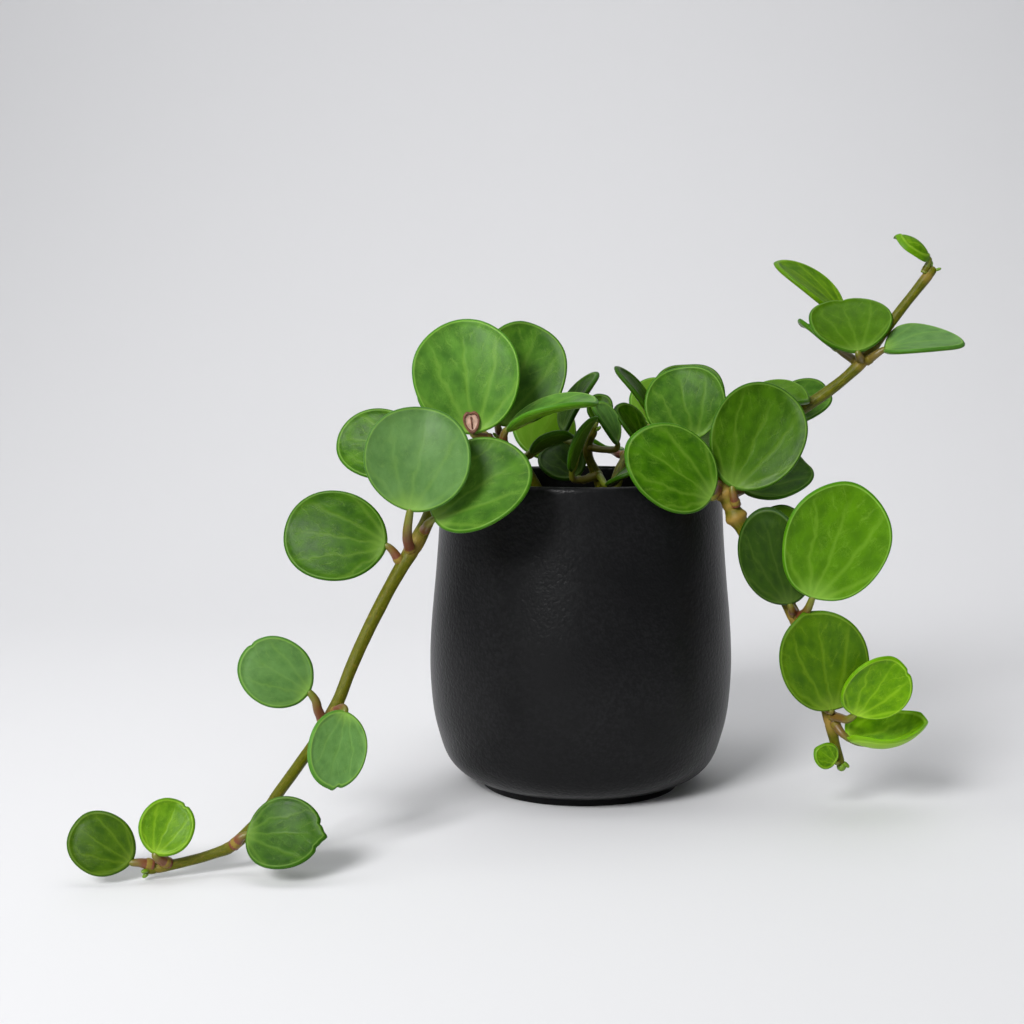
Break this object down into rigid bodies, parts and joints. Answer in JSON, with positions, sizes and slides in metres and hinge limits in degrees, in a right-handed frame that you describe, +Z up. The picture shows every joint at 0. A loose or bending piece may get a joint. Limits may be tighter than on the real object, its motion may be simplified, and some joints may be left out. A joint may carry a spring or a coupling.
{
  "type": "potted peperomia",
  "caption": "Trailing peperomia with thick round glossy leaves on arching stems, growing in soil in a matte black bellied pot; stands on a table or shelf as a house plant.",
  "frame": {"origin": "The middle of the flat foot of the pot, on the surface it stands on.", "axes": "+Z is up, along the axis of the pot. The leafy side with the two long trailing stems faces -Y. +X is to the right when looking along +Y; the upper right stem leans toward +X and the long stem trails toward -X."},
  "size_m": [0.2813, 0.1829, 0.1923],
  "materials": {
    "pot": "matte",
    "soil": "matte",
    "stem": "satin",
    "leaf": "satin",
    "young_leaf": "satin"
  },
  "bodies": {
    "root": {"pot": "pot", "soil": "soil", "left_trailing_stem": "stem", "right_trailing_stem": "stem", "upper_right_stem": "stem", "left_short_stem": "stem", "centre_stem": "stem", "right_short_stem": "stem", "back_left_stem": "stem", "back_right_stem": "stem", "left_tip_leaf": "young_leaf", "left_tip_upright_leaf": "young_leaf", "left_floor_leaf": "leaf", "left_hanging_leaf": "leaf", "left_middle_leaf": "leaf", "left_side_leaf": "leaf", "left_front_leaf": "leaf", "left_rear_side_leaf": "leaf", "left_rim_leaf": "leaf", "left_top_leaf": "leaf", "left_inward_leaf": "leaf", "left_top_rear_leaf": "leaf", "left_lower_inward_leaf": "leaf", "centre_rear_leaf": "leaf", "centre_round_leaf": "leaf", "centre_folded_leaf": "leaf", "centre_edge_leaf": "leaf", "centre_low_leaf": "leaf", "centre_low_rear_leaf": "leaf", "centre_inner_leaf": "leaf", "centre_narrow_leaf": "leaf", "right_front_leaf": "leaf", "right_rear_leaf": "leaf", "right_rim_leaf": "leaf", "right_upright_leaf": "leaf", "right_rim_rear_leaf": "leaf", "right_lower_leaf": "leaf", "right_large_leaf": "leaf", "right_hidden_leaf": "leaf", "right_low_leaf": "young_leaf", "right_low_young_leaf": "young_leaf", "right_low_side_leaf": "young_leaf", "right_end_leaf": "young_leaf", "right_high_leaf": "leaf", "right_behind_leaf": "leaf", "upper_far_leaf": "young_leaf", "upper_front_leaf": "leaf", "upper_rear_leaf": "leaf", "upper_side_leaf": "leaf", "upper_curled_leaf": "young_leaf", "back_left_high_leaf": "leaf", "back_left_rim_leaf": "leaf", "back_left_inner_leaf": "leaf", "back_right_high_leaf": "leaf", "back_right_rim_leaf": "leaf", "back_middle_leaf": "leaf"}
  },
  "joints": []
}
